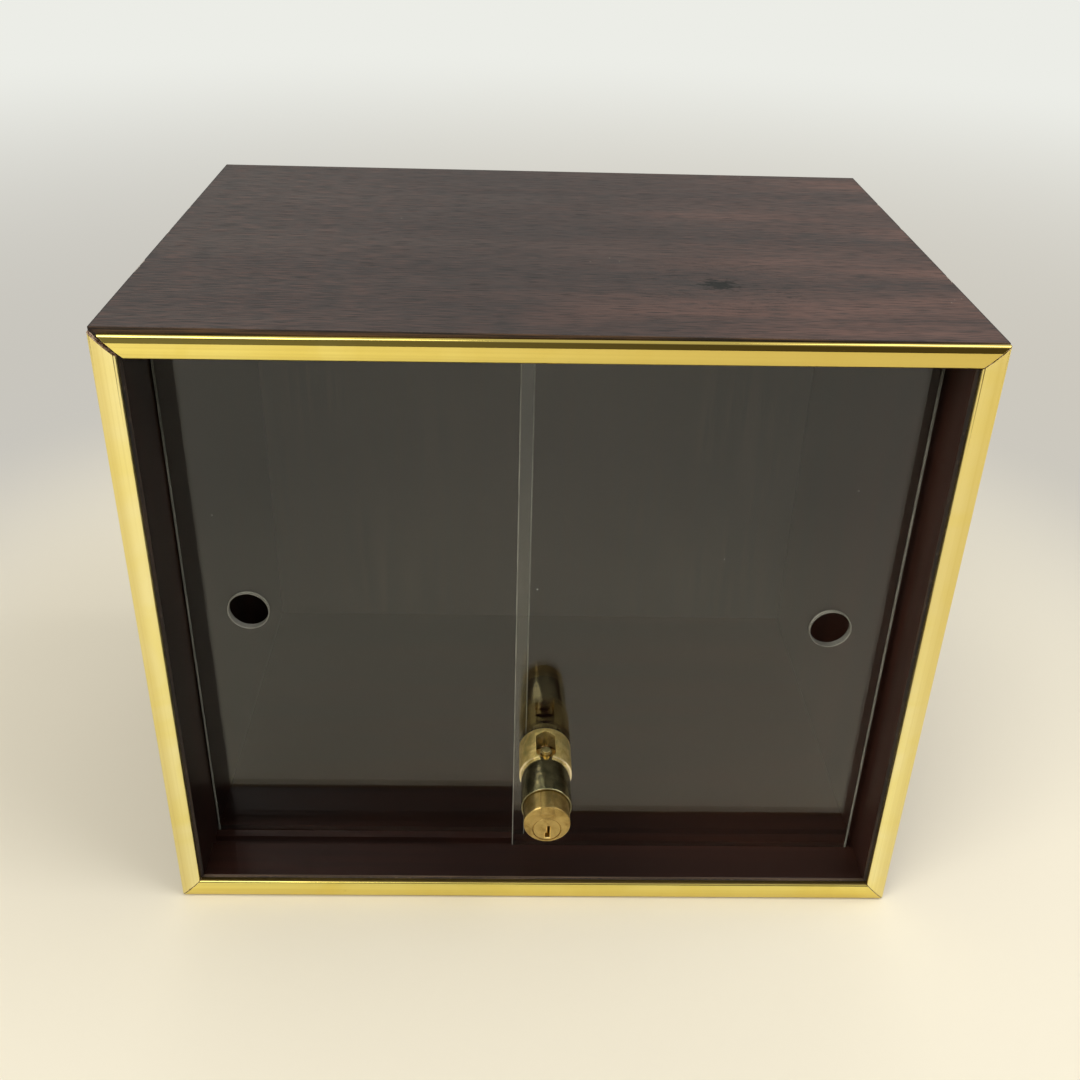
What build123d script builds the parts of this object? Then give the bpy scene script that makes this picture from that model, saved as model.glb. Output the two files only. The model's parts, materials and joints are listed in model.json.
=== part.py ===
"""Table-top display case: a mitred veneered box, a brass edge trim, two sliding glass doors and a push lock.

Millimetres. X runs to the right, Y from the front to the back and Z up. The origin is the centre of the
case's base, on the surface that it stands on.
"""

import os
from math import radians, sqrt, tan

from build123d import *

os.makedirs("parts", exist_ok=True)

# ---------------------------------------------------------------- case
CASE_WIDTH = 305.0
CASE_HEIGHT = 258.0
CASE_DEPTH = 221.0
PANEL_THICKNESS = 9.5
INNER_EDGE_CHAMFER = 1.2

# Loose splines glued across the four mitres.
SPLINE_THICKNESS = 2.0
SPLINE_WIDTH = 7.0
SPLINE_FROM_INNER_CORNER = 5.4
SPLINE_FRONT_INSET = 12.0
SPLINE_BACK_INSET = 22.0
SPLINE_CLEARANCE = 0.05

# The back sits in a housing cut in all four panels.
BACK_THICKNESS = 6.4
BACK_RECESS = 10.0
BACK_HOUSING_DEPTH = 4.0
BACK_FACE_CLEARANCE = 0.05
BACK_EDGE_CLEARANCE = 0.3

# ---------------------------------------------------------------- brass edge trim
# Its face is flat in the middle and falls away to each side, with a rounded corner on each edge.
TRIM_WIDTH = 8.5
TRIM_THICKNESS = 2.7
TRIM_BEVEL_WIDTH = 2.6
TRIM_BEVEL_ANGLE = 13.0
TRIM_EDGE_RADIUS = 1.2
TRIM_BOTTOM_INSET = 0.5
TRIM_TOP_INSET = 0.2
TRIM_TOP_LEFT_DROP = 1.9
MITRE_HAIRLINE = 0.3
MITRE_GAP_TOP_LEFT = 1.5

# ---------------------------------------------------------------- sliding doors
GLASS_THICKNESS = 3.2
GLASS_EDGE_CHAMFER = 0.3
GROOVE_CLEARANCE = 0.5
FRONT_GROOVE_INSET = 22.1
GROOVE_PITCH = 8.2
BOTTOM_GROOVE_DEPTH = 3.0
TOP_GROOVE_DEPTH = 6.5
DOOR_TOP_ENGAGEMENT = 3.0
DOOR_RUNNING_GAP = 0.2
DOOR_OVERLAP = 5.5
DOOR_MEETING_X = -7.75
LEFT_DOOR_WALL_GAP = 0.4
RIGHT_DOOR_WALL_GAP = 2.7
FINGER_HOLE_DIAMETER = 16.0
FINGER_HOLE_INSET = 24.5
FINGER_HOLE_HEIGHT = 127.5

# ---------------------------------------------------------------- push lock
# Its axis is square to the front door. Places along it run forward from the front face of that door, and
# heights in it are measured from the axis.
LOCK_EDGE_INSET = 13.2
LOCK_HEIGHT = 65.5

# The fixed barrel, clamped to the glass by a stem, two washers and a nut.
STEM_RADIUS = 5.9
STEM_HOLE_CLEARANCE = 0.45
WASHER_THICKNESS = 0.6
WASHER_BORE_CLEARANCE = 0.1
FRONT_WASHER_SETBACK = 0.4
REAR_WASHER_WIDTH = 2.1
NUT_THICKNESS = 3.4
NUT_WALL = 2.3
NUT_SLOT_COUNT = 4
NUT_SLOT_WIDTH = 2.0
NUT_SLOT_DEPTH = 1.4
BODY_WALL = 1.6
BODY_FRONT = 17.7
BODY_BORE_FLOOR = 3.0
SPIGOT_WALL = 0.45
SPIGOT_LENGTH = 3.5
SPIGOT_CLEARANCE = 0.05
SLEEVE_STEP = 0.75
SLEEVE_LENGTH = 19.3
SLEEVE_RIM_CHAMFER = 0.2

# The window in the top of the barrel's body.
WINDOW_WIDTH = 8.0
WINDOW_FRONT_WIDTH = 5.3
WINDOW_TAPER = 2.3
WINDOW_REAR_MARGIN = 4.75

# The cylinder that is pushed in, with its stud and its bolt.
SHELL_RADIUS = 9.15
SHELL_BODY_CLEARANCE = 0.1
SHELL_SLEEVE_CLEARANCE = 0.35
SHELL_EDGE_CHAMFER = 0.4
PUSH_TRAVEL = 8.0
PUSHED_FACE_PROUD = 1.4
PUSHED_REAR_GAP = 0.5
SPRING_POCKET_DEPTH = 6.0
SHELL_WEB = 2.7
STUD_STOP_GAP = 0.25
STUD_SHANK_RADIUS = 1.9
STUD_SHANK_DEPTH = 3.2
STUD_COLLAR_RADIUS = 2.3
STUD_SEAT_GAP = 0.1
STUD_HEAD_PROUD = 0.7
STUD_HEAD_CHAMFER = 0.15
BOLT_RADIUS = 3.0
BOLT_CLEARANCE = 0.2
BOLT_TIP_CHAMFER = 0.8
BOLT_TO_REAR_DOOR = 0.3

# The spring round the bolt.
RETURN_SPRING_WIRE = 0.35
RETURN_SPRING_TURNS = 5
RETURN_SPRING_INNER_GAP = 1.15
RETURN_SPRING_OUTER_GAP = 0.55
SPRING_END_GAP = 0.1

# The plug that the key turns.
PLUG_RADIUS = 5.55
PLUG_CLEARANCE = 0.12
PLUG_WALL = 0.88
PLUG_FACE_RECESS = 0.1
PLUG_EDGE_CHAMFER = 0.25
KEYWAY_BLIND_LENGTH = 3.0
KEYWAY_ABOVE_CENTRE = 1.3
KEYWAY_BELOW_CENTRE = 4.5
KEYWAY_RIGHT = 1.15
KEYWAY_LEFT = -0.55
KEYWAY_WARD = 0.25
KEYWAY_WARD_BELOW_CENTRE = 2.3
KEYWAY_MOUTH_CHAMFER = 0.45

# The pins, above each other in chambers that cross from the plug into an insert in the cylinder.
PIN_COUNT = 4
PIN_PITCH = 4.0
FIRST_PIN_INSET = 3.2
PIN_RADIUS = 1.4
PIN_CLEARANCE = 0.1
PIN_END_CHAMFER = 0.3
PIN_SHEAR_GAP = 0.15
KEY_PIN_LENGTHS = (4.6, 5.4, 4.3, 5.0)
PIN_HOLE_BELOW_ROOF = 1.8
DRIVER_PIN_LENGTH = 1.9
DRIVER_SPRING_RADIUS = 0.95
DRIVER_SPRING_WIRE = 0.23
DRIVER_SPRING_TURNS = 4
INSERT_WIDTH = 5.2
INSERT_ABOVE_PLUG = 1.83
INSERT_ROOF = 1.1
INSERT_BEHIND_LAST_PIN = 5.2
INSERT_CLEARANCE = 0.1

# The dog behind the plug, which holds the cylinder in until the plug's cam pin lifts it.
DOG_THICKNESS = 3.2
DOG_SIDE_GAP = 0.3
DOG_TIP_WIDTH = 4.0
DOG_HEAD_WIDTH = 6.8
DOG_HEAD_ABOVE_CENTRE = 1.7
DOG_HEAD_BELOW_CENTRE = 3.6
DOG_TRAVEL = 1.2
DOG_CLEARANCE = 0.1
DOG_NOTCH_DEPTH = 1.1
DOG_NOTCH_CLEARANCE = 0.2
CAM_PIN_RADIUS = 0.7
CAM_SLOT_CLEARANCE = 0.35
DOG_SPRING_RADIUS = 1.3
DOG_SPRING_WIRE = 0.25
DOG_SPRING_TURNS = 3
DOG_SPRING_HEADROOM = 0.5

# ---------------------------------------------------------------- worked-out places
half_width = CASE_WIDTH / 2
half_depth = CASE_DEPTH / 2
inner_half_width = half_width - PANEL_THICKNESS
floor_z = PANEL_THICKNESS
ceiling_z = CASE_HEIGHT - PANEL_THICKNESS
front_y = -half_depth

groove_width = GLASS_THICKNESS + 2 * GROOVE_CLEARANCE
front_groove_y = front_y + FRONT_GROOVE_INSET
rear_groove_y = front_groove_y + GROOVE_PITCH

door_bottom_z = floor_z - BOTTOM_GROOVE_DEPTH + DOOR_RUNNING_GAP
door_top_z = ceiling_z + DOOR_TOP_ENGAGEMENT
left_door_left_x = -inner_half_width + LEFT_DOOR_WALL_GAP
left_door_right_x = DOOR_MEETING_X + DOOR_OVERLAP / 2
right_door_left_x = DOOR_MEETING_X - DOOR_OVERLAP / 2
right_door_right_x = inner_half_width - RIGHT_DOOR_WALL_GAP

back_front_y = half_depth - BACK_RECESS - BACK_THICKNESS

lock_x = right_door_left_x + LOCK_EDGE_INSET
glass_front_y = front_groove_y - GLASS_THICKNESS / 2
# Seen from the front, this plane's x is right, its y is up and its normal points at the viewer.
LOCK_PLANE = Plane(origin=(lock_x, glass_front_y, LOCK_HEIGHT), x_dir=(1, 0, 0), z_dir=(0, -1, 0))
FRONT_PLANE = Plane.XZ.offset(half_depth)

stem_hole_radius = STEM_RADIUS + STEM_HOLE_CLEARANCE
washer_bore_radius = STEM_RADIUS + WASHER_BORE_CLEARANCE
nut_radius = STEM_RADIUS + NUT_WALL
nut_front = -GLASS_THICKNESS - WASHER_THICKNESS
stem_end = nut_front - NUT_THICKNESS

body_bore_radius = SHELL_RADIUS + SHELL_BODY_CLEARANCE
body_radius = body_bore_radius + BODY_WALL
spigot_radius = body_bore_radius + SPIGOT_WALL
sleeve_radius = body_radius - SLEEVE_STEP
sleeve_front = BODY_FRONT + SLEEVE_LENGTH

shell_front = sleeve_front + PUSH_TRAVEL + PUSHED_FACE_PROUD
shell_rear = BODY_BORE_FLOOR + PUSH_TRAVEL + PUSHED_REAR_GAP
spring_pocket_floor = shell_rear + SPRING_POCKET_DEPTH
plug_bore_floor = spring_pocket_floor + SHELL_WEB
dog_rear = plug_bore_floor + DOG_SIDE_GAP
dog_front = dog_rear + DOG_THICKNESS
plug_rear = dog_front + DOG_SIDE_GAP
stud_position = BODY_FRONT - STUD_COLLAR_RADIUS - STUD_STOP_GAP
window_rear = stud_position - PUSH_TRAVEL - WINDOW_REAR_MARGIN
bolt_tip = BOLT_TO_REAR_DOOR + PUSH_TRAVEL - GROOVE_PITCH

return_spring_radius = BOLT_RADIUS + RETURN_SPRING_INNER_GAP + RETURN_SPRING_WIRE
spring_pocket_radius = return_spring_radius + RETURN_SPRING_WIRE + RETURN_SPRING_OUTER_GAP

plug_bore_radius = PLUG_RADIUS + PLUG_CLEARANCE
plug_centre = PLUG_WALL + plug_bore_radius - SHELL_RADIUS
plug_top = plug_centre + PLUG_RADIUS
plug_bore_top = plug_centre + plug_bore_radius
cam_pin_height = plug_centre - DOG_TRAVEL
keyway_roof = plug_centre + KEYWAY_ABOVE_CENTRE

pin_bore_radius = PIN_RADIUS + PIN_CLEARANCE
pin_positions = [shell_front - FIRST_PIN_INSET - index * PIN_PITCH for index in range(PIN_COUNT)]
driver_base = plug_top + PIN_SHEAR_GAP
insert_rear = pin_positions[-1] - INSERT_BEHIND_LAST_PIN
insert_base = plug_bore_top + INSERT_ABOVE_PLUG
pin_chamber_roof = SHELL_RADIUS - INSERT_ROOF


def level_plane(forward, height):
    """A level plane, centred over the lock's axis this far forward and at this height above the axis."""
    return Plane(origin=(lock_x, glass_front_y - forward, LOCK_HEIGHT + height))


# ---------------------------------------------------------------- case panels
def corner_spline_outline(side, level, growth):
    """A spline's end view, square across the mitre of the corner on this side and at this level."""
    reach = SPLINE_FROM_INNER_CORNER / sqrt(2)
    corner_z = floor_z - reach if level < 0 else ceiling_z + reach
    with BuildSketch(FRONT_PLANE.offset(-SPLINE_FRONT_INSET)) as outline:
        with Locations(Location((side * (inner_half_width + reach), corner_z), -45 * side * level)):
            Rectangle(SPLINE_WIDTH, SPLINE_THICKNESS + growth)
    return outline.sketch


SPLINE_LENGTH = CASE_DEPTH - SPLINE_FRONT_INSET - SPLINE_BACK_INSET
CORNERS = [(side, level) for side in (-1, 1) for level in (-1, 1)]


def case_panel(outline, corners, grooves):
    """One mitred panel, housed for the back, kerfed for its two splines and grooved for the doors."""
    with BuildPart() as panel:
        with BuildSketch(FRONT_PLANE):
            with BuildLine():
                Polyline(*outline, close=True)
            make_face()
        extrude(amount=-CASE_DEPTH)
        front_edges = panel.edges().filter_by(Plane.XZ).group_by(Axis.Y)[0]
        inner_edge = front_edges.sort_by_distance((0, front_y, CASE_HEIGHT / 2))[0]
        chamfer(inner_edge, length=INNER_EDGE_CHAMFER)
        with Locations((0, back_front_y + BACK_THICKNESS / 2, CASE_HEIGHT / 2)):
            Box(
                2 * (inner_half_width + BACK_HOUSING_DEPTH),
                BACK_THICKNESS + 2 * BACK_FACE_CLEARANCE,
                ceiling_z - floor_z + 2 * BACK_HOUSING_DEPTH,
                mode=Mode.SUBTRACT,
            )
        for side, level in corners:
            kerf = corner_spline_outline(side, level, 2 * SPLINE_CLEARANCE)
            extrude(kerf, amount=-SPLINE_LENGTH, mode=Mode.SUBTRACT)
        for groove_y in (front_groove_y, rear_groove_y):
            for groove_z, groove_depth in grooves:
                with Locations((0, groove_y, groove_z)):
                    Box(2 * inner_half_width, groove_width, 2 * groove_depth, mode=Mode.SUBTRACT)
    return panel


bottom_panel = case_panel(
    [(-half_width, 0), (half_width, 0), (inner_half_width, floor_z), (-inner_half_width, floor_z)],
    [(-1, -1), (1, -1)],
    [(floor_z, BOTTOM_GROOVE_DEPTH)],
)
bottom_panel.part.label = "bottom_panel"
export_step(bottom_panel.part, "parts/bottom_panel.step")

top_panel = case_panel(
    [
        (-half_width, CASE_HEIGHT),
        (half_width, CASE_HEIGHT),
        (inner_half_width, ceiling_z),
        (-inner_half_width, ceiling_z),
    ],
    [(-1, 1), (1, 1)],
    [(ceiling_z, TOP_GROOVE_DEPTH)],
)
top_panel.part.label = "top_panel"
export_step(top_panel.part, "parts/top_panel.step")

left_side = case_panel(
    [
        (-half_width, 0),
        (-half_width, CASE_HEIGHT),
        (-inner_half_width, ceiling_z),
        (-inner_half_width, floor_z),
    ],
    [(-1, -1), (-1, 1)],
    [],
)
left_side.part.label = "left_side"
export_step(left_side.part, "parts/left_side.step")

right_side = case_panel(
    [(half_width, 0), (half_width, CASE_HEIGHT), (inner_half_width, ceiling_z), (inner_half_width, floor_z)],
    [(1, -1), (1, 1)],
    [],
)
right_side.part.label = "right_side"
export_step(right_side.part, "parts/right_side.step")

with BuildPart() as back_panel:
    with Locations((0, back_front_y + BACK_THICKNESS / 2, CASE_HEIGHT / 2)):
        Box(
            2 * (inner_half_width + BACK_HOUSING_DEPTH - BACK_EDGE_CLEARANCE),
            BACK_THICKNESS,
            ceiling_z - floor_z + 2 * (BACK_HOUSING_DEPTH - BACK_EDGE_CLEARANCE),
        )
back_panel.part.label = "back_panel"
export_step(back_panel.part, "parts/back_panel.step")

with BuildPart() as corner_splines:
    for side, level in CORNERS:
        extrude(corner_spline_outline(side, level, 0), amount=-SPLINE_LENGTH)
corner_splines.part.label = "corner_splines"
export_step(corner_splines.part, "parts/corner_splines.step")

# ---------------------------------------------------------------- trim
trim_right_x = half_width
trim_bottom_z = TRIM_BOTTOM_INSET
TRIM_CORNERS = {
    "top_left": Vector(-trim_right_x, front_y, CASE_HEIGHT - TRIM_TOP_INSET),
    "top_right": Vector(trim_right_x, front_y, CASE_HEIGHT - TRIM_TOP_INSET),
    "bottom_right": Vector(trim_right_x, front_y, trim_bottom_z),
    "bottom_left": Vector(-trim_right_x, front_y, trim_bottom_z),
}
CLOCKWISE = ["top_left", "top_right", "bottom_right", "bottom_left"]
BACKWARD = Vector(0, 1, 0)


def corner_name(index):
    """The corner with this index, counted clockwise as seen from the front and round again."""
    return CLOCKWISE[index % len(CLOCKWISE)]


def run_direction(index):
    """The unit direction of the bar from this corner to the next."""
    start = TRIM_CORNERS[corner_name(index)]
    end = TRIM_CORNERS[corner_name(index + 1)]
    return (end - start).normalized()


def mitre_gap(index):
    """The width of the joint line at this corner."""
    return MITRE_GAP_TOP_LEFT if corner_name(index) == "top_left" else MITRE_HAIRLINE


def mitre_normal(index):
    """The normal of the mitre at this corner, pointing along the bar that starts there."""
    inward_before = BACKWARD.cross(run_direction(index - 1))
    inward_after = BACKWARD.cross(run_direction(index))
    along_mitre = inward_before + inward_after
    normal = along_mitre.cross(BACKWARD).normalized()
    return normal if normal.dot(run_direction(index)) > 0 else -normal


def trim_bar(index, start_drop=0.0):
    """The bar from this corner to the next, mitred at both ends. Its outer edge may start lower than that."""
    corner = TRIM_CORNERS[corner_name(index)]
    start = corner - Vector(0, 0, start_drop)
    end = TRIM_CORNERS[corner_name(index + 1)]
    along = (end - start).normalized()
    start_normal = mitre_normal(index)
    end_normal = -mitre_normal(index + 1)
    section_plane = Plane(origin=start, x_dir=BACKWARD.cross(along), z_dir=along)
    edge_height = TRIM_THICKNESS - TRIM_BEVEL_WIDTH * tan(radians(TRIM_BEVEL_ANGLE))
    with BuildPart() as bar:
        with BuildSketch(section_plane) as section:
            with BuildLine():
                Polyline(
                    (0, 0),
                    (0, -edge_height),
                    (TRIM_BEVEL_WIDTH, -TRIM_THICKNESS),
                    (TRIM_WIDTH - TRIM_BEVEL_WIDTH, -TRIM_THICKNESS),
                    (TRIM_WIDTH, -edge_height),
                    (TRIM_WIDTH, 0),
                    close=True,
                )
            make_face()
            fillet(section.vertices().group_by(Axis.Y)[1], radius=TRIM_EDGE_RADIUS)
        extrude(amount=(end - start).length + TRIM_WIDTH)
        extrude(bar.faces().sort_by(Axis(start, along))[0], amount=TRIM_WIDTH)
        start_cut = Plane(origin=corner + start_normal * (mitre_gap(index) / 2), z_dir=start_normal)
        split(bisect_by=start_cut, keep=Keep.TOP)
        end_cut = Plane(origin=end + end_normal * (mitre_gap(index + 1) / 2), z_dir=end_normal)
        split(bisect_by=end_cut, keep=Keep.TOP)
    return bar


trim_top = trim_bar(0, TRIM_TOP_LEFT_DROP)
trim_top.part.label = "trim_top"
export_step(trim_top.part, "parts/trim_top.step")

trim_right = trim_bar(1)
trim_right.part.label = "trim_right"
export_step(trim_right.part, "parts/trim_right.step")

trim_bottom = trim_bar(2)
trim_bottom.part.label = "trim_bottom"
export_step(trim_bottom.part, "parts/trim_bottom.step")

trim_left = trim_bar(3)
trim_left.part.label = "trim_left"
export_step(trim_left.part, "parts/trim_left.step")


# ---------------------------------------------------------------- doors
def glass_door(left_x, right_x, groove_y, holes):
    """A pane standing in its groove, with round holes given as (x, z, diameter) and its edges eased."""
    with BuildPart() as door:
        with BuildSketch(Plane.XZ.offset(-(groove_y - GLASS_THICKNESS / 2))):
            with Locations(((left_x + right_x) / 2, (door_bottom_z + door_top_z) / 2)):
                Rectangle(right_x - left_x, door_top_z - door_bottom_z)
            for hole_x, hole_z, diameter in holes:
                with Locations((hole_x, hole_z)):
                    Circle(diameter / 2, mode=Mode.SUBTRACT)
        extrude(amount=-GLASS_THICKNESS)
        chamfer(door.edges().filter_by(Axis.Y, reverse=True), length=GLASS_EDGE_CHAMFER)
    return door


left_door = glass_door(
    left_door_left_x,
    left_door_right_x,
    rear_groove_y,
    [(left_door_left_x + FINGER_HOLE_INSET, FINGER_HOLE_HEIGHT, FINGER_HOLE_DIAMETER)],
)
left_door.part.label = "left_door"
export_step(left_door.part, "parts/left_door.step")

right_door = glass_door(
    right_door_left_x,
    right_door_right_x,
    front_groove_y,
    [
        (right_door_right_x - FINGER_HOLE_INSET, FINGER_HOLE_HEIGHT, FINGER_HOLE_DIAMETER),
        (lock_x, LOCK_HEIGHT, 2 * stem_hole_radius),
    ],
)
right_door.part.label = "right_door"
export_step(right_door.part, "parts/right_door.step")

# ---------------------------------------------------------------- lock, fixed parts
def ring(rear, front, radius, bore_radius):
    """A plain ring about the lock's axis."""
    with BuildPart() as washer:
        with BuildSketch(LOCK_PLANE.offset(rear)):
            Circle(radius)
            Circle(bore_radius, mode=Mode.SUBTRACT)
        extrude(amount=front - rear)
    return washer


lock_front_washer = ring(0, WASHER_THICKNESS, body_radius - FRONT_WASHER_SETBACK, washer_bore_radius)
lock_front_washer.part.label = "lock_front_washer"
export_step(lock_front_washer.part, "parts/lock_front_washer.step")

lock_rear_washer = ring(nut_front, -GLASS_THICKNESS, STEM_RADIUS + REAR_WASHER_WIDTH, washer_bore_radius)
lock_rear_washer.part.label = "lock_rear_washer"
export_step(lock_rear_washer.part, "parts/lock_rear_washer.step")

with BuildPart() as lock_nut:
    with BuildSketch(LOCK_PLANE.offset(stem_end)):
        Circle(nut_radius)
        Circle(washer_bore_radius, mode=Mode.SUBTRACT)
        with PolarLocations(nut_radius, NUT_SLOT_COUNT, start_angle=180 / NUT_SLOT_COUNT):
            Rectangle(2 * NUT_SLOT_DEPTH, NUT_SLOT_WIDTH, mode=Mode.SUBTRACT)
    extrude(amount=NUT_THICKNESS)
lock_nut.part.label = "lock_nut"
export_step(lock_nut.part, "parts/lock_nut.step")

notch_rear = dog_rear - PUSH_TRAVEL - DOG_NOTCH_CLEARANCE
notch_length = DOG_THICKNESS + 2 * DOG_NOTCH_CLEARANCE

with BuildPart() as lock_body:
    with BuildSketch(LOCK_PLANE.offset(stem_end)):
        Circle(STEM_RADIUS)
    extrude(amount=WASHER_THICKNESS - stem_end)
    with BuildSketch(LOCK_PLANE.offset(WASHER_THICKNESS)):
        Circle(body_radius)
    extrude(amount=BODY_FRONT - WASHER_THICKNESS)
    with BuildSketch(LOCK_PLANE.offset(BODY_FRONT)):
        Circle(spigot_radius)
    extrude(amount=SPIGOT_LENGTH)
    with BuildSketch(LOCK_PLANE.offset(BODY_BORE_FLOOR)):
        Circle(body_bore_radius)
    extrude(amount=BODY_FRONT + SPIGOT_LENGTH - BODY_BORE_FLOOR, mode=Mode.SUBTRACT)
    with BuildSketch(LOCK_PLANE.offset(stem_end)):
        Circle(BOLT_RADIUS + BOLT_CLEARANCE)
    extrude(amount=BODY_BORE_FLOOR - stem_end, mode=Mode.SUBTRACT)
    # The window in its top, in which the stud travels.
    with BuildSketch(level_plane(0, 0)):
        with BuildLine():
            Polyline(
                (0, -window_rear),
                (WINDOW_WIDTH / 2, -window_rear - WINDOW_TAPER),
                (WINDOW_WIDTH / 2, WINDOW_TAPER - BODY_FRONT),
                (WINDOW_FRONT_WIDTH / 2, -BODY_FRONT),
                (-WINDOW_FRONT_WIDTH / 2, -BODY_FRONT),
                (-WINDOW_WIDTH / 2, WINDOW_TAPER - BODY_FRONT),
                (-WINDOW_WIDTH / 2, -window_rear - WINDOW_TAPER),
                close=True,
            )
        make_face()
    extrude(amount=2 * body_radius, mode=Mode.SUBTRACT)
    # The notch in the floor of its bore, which the dog drops into when the lock is pushed in.
    with BuildSketch(LOCK_PLANE.offset(notch_rear)):
        with Locations((0, -body_bore_radius)):
            Rectangle(DOG_TIP_WIDTH + 2 * DOG_NOTCH_CLEARANCE, 2 * DOG_NOTCH_DEPTH)
    extrude(amount=notch_length, mode=Mode.SUBTRACT)
lock_body.part.label = "lock_body"
export_step(lock_body.part, "parts/lock_body.step")

with BuildPart() as lock_sleeve:
    with BuildSketch(LOCK_PLANE.offset(BODY_FRONT)):
        Circle(sleeve_radius)
        Circle(SHELL_RADIUS + SHELL_SLEEVE_CLEARANCE, mode=Mode.SUBTRACT)
    extrude(amount=SLEEVE_LENGTH)
    with BuildSketch(LOCK_PLANE.offset(BODY_FRONT)):
        Circle(spigot_radius + SPIGOT_CLEARANCE)
    extrude(amount=SPIGOT_LENGTH + SPIGOT_CLEARANCE, mode=Mode.SUBTRACT)
    rim = lock_sleeve.edges().filter_by(GeomType.CIRCLE).group_by(Axis.Y)[0].sort_by(SortBy.RADIUS)[-1]
    chamfer(rim, length=SLEEVE_RIM_CHAMFER)
lock_sleeve.part.label = "lock_sleeve"
export_step(lock_sleeve.part, "parts/lock_sleeve.step")

# ---------------------------------------------------------------- lock, sliding parts
with BuildPart() as cylinder_shell:
    with BuildSketch(LOCK_PLANE.offset(shell_rear)):
        Circle(SHELL_RADIUS)
    extrude(amount=shell_front - shell_rear)
    front_rim = cylinder_shell.edges().filter_by(GeomType.CIRCLE).group_by(Axis.Y)[0]
    chamfer(front_rim, length=SHELL_EDGE_CHAMFER)
    with BuildSketch(LOCK_PLANE.offset(plug_bore_floor)):
        with Locations((0, plug_centre)):
            Circle(plug_bore_radius)
    extrude(amount=shell_front - plug_bore_floor, mode=Mode.SUBTRACT)
    with BuildSketch(LOCK_PLANE.offset(shell_rear)):
        Circle(spring_pocket_radius)
    extrude(amount=SPRING_POCKET_DEPTH, mode=Mode.SUBTRACT)
    with BuildSketch(LOCK_PLANE.offset(spring_pocket_floor)):
        Circle(BOLT_RADIUS)
    extrude(amount=SHELL_WEB, mode=Mode.SUBTRACT)
    # Slot for the dog's tip, through the wall below the plug.
    with BuildSketch(LOCK_PLANE.offset(dog_rear - DOG_CLEARANCE)):
        with Locations((0, -SHELL_RADIUS)):
            Rectangle(DOG_TIP_WIDTH + 2 * DOG_CLEARANCE, SHELL_RADIUS)
    extrude(amount=DOG_THICKNESS + 2 * DOG_CLEARANCE, mode=Mode.SUBTRACT)
    # Slot for the pin chamber insert, open at the front.
    with BuildSketch(LOCK_PLANE.offset(insert_rear)):
        with Locations((0, insert_base + SHELL_RADIUS / 2)):
            Rectangle(INSERT_WIDTH, SHELL_RADIUS)
    extrude(amount=shell_front - insert_rear, mode=Mode.SUBTRACT)
    for position in pin_positions:
        with BuildSketch(level_plane(position, 0)):
            Circle(pin_bore_radius)
        extrude(amount=SHELL_RADIUS, mode=Mode.SUBTRACT)
    with BuildSketch(level_plane(stud_position, SHELL_RADIUS - STUD_SHANK_DEPTH)):
        Circle(STUD_SHANK_RADIUS)
    extrude(amount=SHELL_RADIUS, mode=Mode.SUBTRACT)
cylinder_shell.part.label = "cylinder_shell"
export_step(cylinder_shell.part, "parts/cylinder_shell.step")

with BuildPart() as pin_chamber_insert:
    with BuildSketch(LOCK_PLANE.offset(insert_rear + INSERT_CLEARANCE)):
        with Locations((0, insert_base + INSERT_CLEARANCE + SHELL_RADIUS / 2)):
            Rectangle(INSERT_WIDTH - 2 * INSERT_CLEARANCE, SHELL_RADIUS)
    extrude(amount=shell_front - insert_rear - INSERT_CLEARANCE)
    with BuildSketch(LOCK_PLANE.offset(insert_rear)):
        Circle(SHELL_RADIUS)
    extrude(amount=shell_front - insert_rear, mode=Mode.INTERSECT)
    for position in pin_positions:
        with BuildSketch(level_plane(position, 0)):
            Circle(pin_bore_radius)
        extrude(amount=pin_chamber_roof, mode=Mode.SUBTRACT)
pin_chamber_insert.part.label = "pin_chamber_insert"
export_step(pin_chamber_insert.part, "parts/pin_chamber_insert.step")

with BuildPart() as stop_stud:
    with BuildSketch(level_plane(stud_position, SHELL_RADIUS - STUD_SHANK_DEPTH)):
        Circle(STUD_SHANK_RADIUS)
    extrude(amount=STUD_SHANK_DEPTH + body_radius - SHELL_RADIUS + STUD_HEAD_PROUD)
    with BuildSketch(level_plane(stud_position, SHELL_RADIUS + STUD_SEAT_GAP)):
        Circle(STUD_COLLAR_RADIUS)
    extrude(amount=body_radius - SHELL_RADIUS - 2 * STUD_SEAT_GAP)
    head_rim = stop_stud.edges().filter_by(GeomType.CIRCLE).group_by(Axis.Z)[-1]
    chamfer(head_rim, length=STUD_HEAD_CHAMFER)
stop_stud.part.label = "stop_stud"
export_step(stop_stud.part, "parts/stop_stud.step")

with BuildPart() as bolt:
    with BuildSketch(LOCK_PLANE.offset(bolt_tip)):
        Circle(BOLT_RADIUS)
    extrude(amount=plug_bore_floor - bolt_tip)
    tip_rim = bolt.edges().filter_by(GeomType.CIRCLE).group_by(Axis.Y)[-1]
    chamfer(tip_rim, length=BOLT_TIP_CHAMFER)
bolt.part.label = "bolt"
export_step(bolt.part, "parts/bolt.step")


def coil_spring(base_plane, length, radius, wire, turns):
    """A compression spring of round wire, given by its radius, standing on a plane along its normal."""
    climb = length - 2 * wire
    first_turn = base_plane.offset(wire)
    with BuildPart() as spring:
        with BuildLine() as path:
            Helix(
                pitch=climb / turns,
                height=climb,
                radius=radius,
                center=first_turn.origin,
                direction=first_turn.z_dir,
            )
        with BuildSketch(path.line ^ 0):
            Circle(wire)
        sweep(path=path.line, is_frenet=True)
    return spring


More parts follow.
